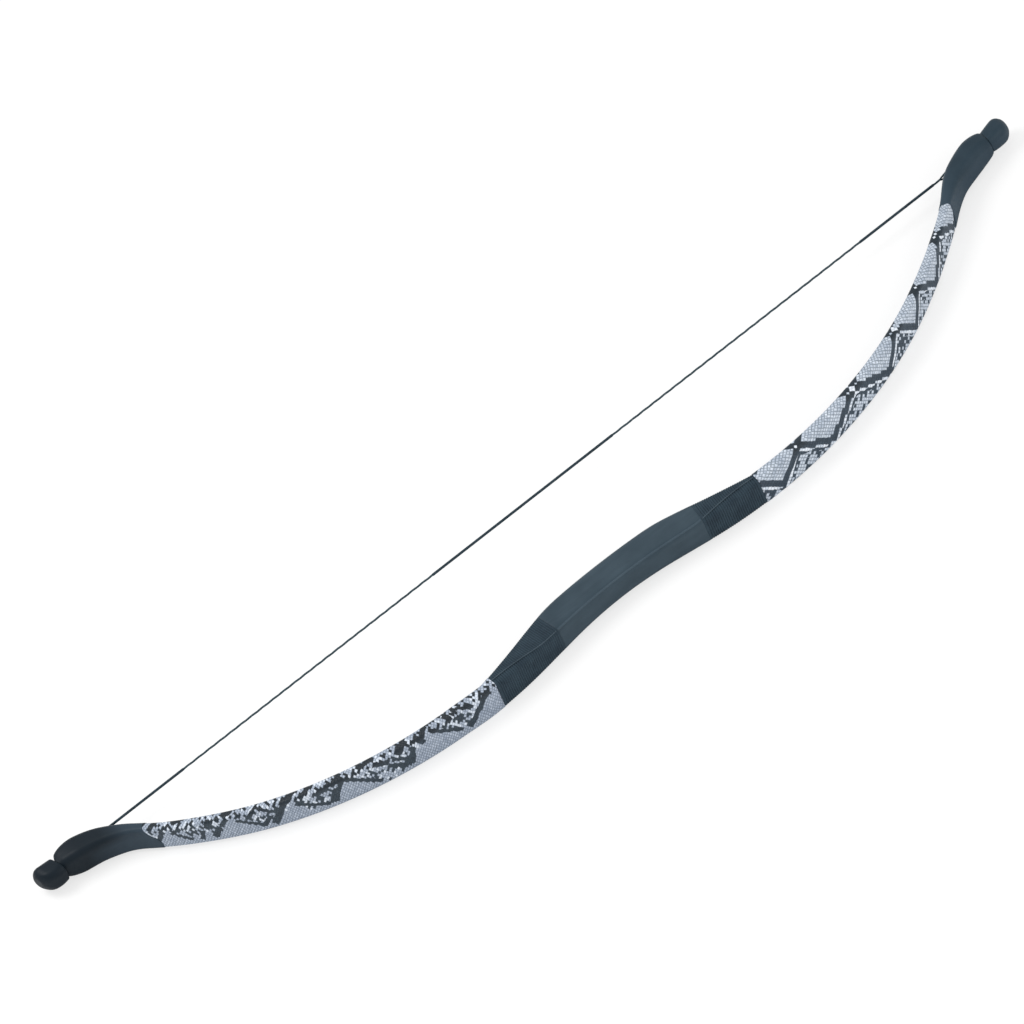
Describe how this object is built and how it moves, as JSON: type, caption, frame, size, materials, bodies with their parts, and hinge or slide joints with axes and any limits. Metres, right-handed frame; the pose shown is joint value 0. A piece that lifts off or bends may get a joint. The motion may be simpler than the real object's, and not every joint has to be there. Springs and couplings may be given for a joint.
{
  "type": "recurve bow",
  "caption": "Strung recurve bow in the horse-bow style: leather grip between cord bindings, sleeved limbs that bend, hooked stiff tips and a looped, served string.",
  "frame": {"origin": "middle of the handle, at mid-width and mid-thickness, where the hand holds it", "axes": "+X along the bow towards the upper tip, +Y from the bow's back towards the string, +Z across the width, up when the bow lies on its side"},
  "size_m": [1.276, 0.2027, 0.0378],
  "materials": {
    "riser_wood": "satin",
    "core_wood": "satin",
    "glass_lamination": "satin",
    "wrap_cloth": "matte",
    "grip_hide": "satin",
    "binding_cord": "matte",
    "limb_skin": "glossy",
    "tip_black": "satin",
    "string_fibre": "matte"
  },
  "bodies": {
    "grip": {"riser_block": "riser_wood", "handle_back_glass": "glass_lamination", "handle_core": "core_wood", "handle_belly_glass": "glass_lamination", "handle_wrap": "wrap_cloth", "grip_leather": "grip_hide", "grip_seam": "grip_hide", "upper_binding": "binding_cord", "lower_binding": "binding_cord", "lower_skin_root": "limb_skin"},
    "upper_limb": {"upper_back_glass": "glass_lamination", "upper_core": "core_wood", "upper_belly_glass": "glass_lamination", "upper_skin": "limb_skin", "upper_tip": "tip_black", "upper_loop": "string_fibre"},
    "upper_string": {"upper_strand": "string_fibre", "upper_end_serving": "string_fibre", "upper_centre_serving": "string_fibre"},
    "lower_limb": {"lower_back_glass": "glass_lamination", "lower_core": "core_wood", "lower_belly_glass": "glass_lamination", "lower_skin": "limb_skin", "lower_tip": "tip_black", "lower_loop": "string_fibre"},
    "lower_string": {"lower_strand": "string_fibre", "lower_end_serving": "string_fibre", "lower_centre_serving": "string_fibre"}
  },
  "joints": [
    {"name": "upper_limb_flex", "type": "hinge", "parent": "grip", "child": "upper_limb", "pos_m": [0.18312, -0.02654, 0], "axis": [0, 0, 1], "range_deg": [0, 25.5], "stiffness_Nm_per_rad": 60, "springref_deg": -17.19},
    {"name": "lower_limb_flex", "type": "hinge", "parent": "grip", "child": "lower_limb", "pos_m": [-0.18312, -0.02654, 0], "axis": [0, 0, 1], "range_deg": [-25.5, 0], "stiffness_Nm_per_rad": 60, "springref_deg": 17.19},
    {"name": "upper_string_swing", "type": "hinge", "parent": "upper_limb", "child": "upper_string", "pos_m": [0.61037, 0.15599, 0], "axis": [0, 0, 1], "range_deg": [-62.07, 0]},
    {"name": "lower_string_swing", "type": "hinge", "parent": "lower_limb", "child": "lower_string", "pos_m": [-0.61037, 0.15599, 0], "axis": [0, 0, 1], "range_deg": [0, 62.07]}
  ],
  "couplings": [
    {"joint": "lower_limb_flex", "follows": "upper_limb_flex", "ratio": -1},
    {"joint": "upper_string_swing", "follows": "upper_limb_flex", "ratio": -2.4343},
    {"joint": "lower_string_swing", "follows": "upper_limb_flex", "ratio": 2.4343}
  ]
}
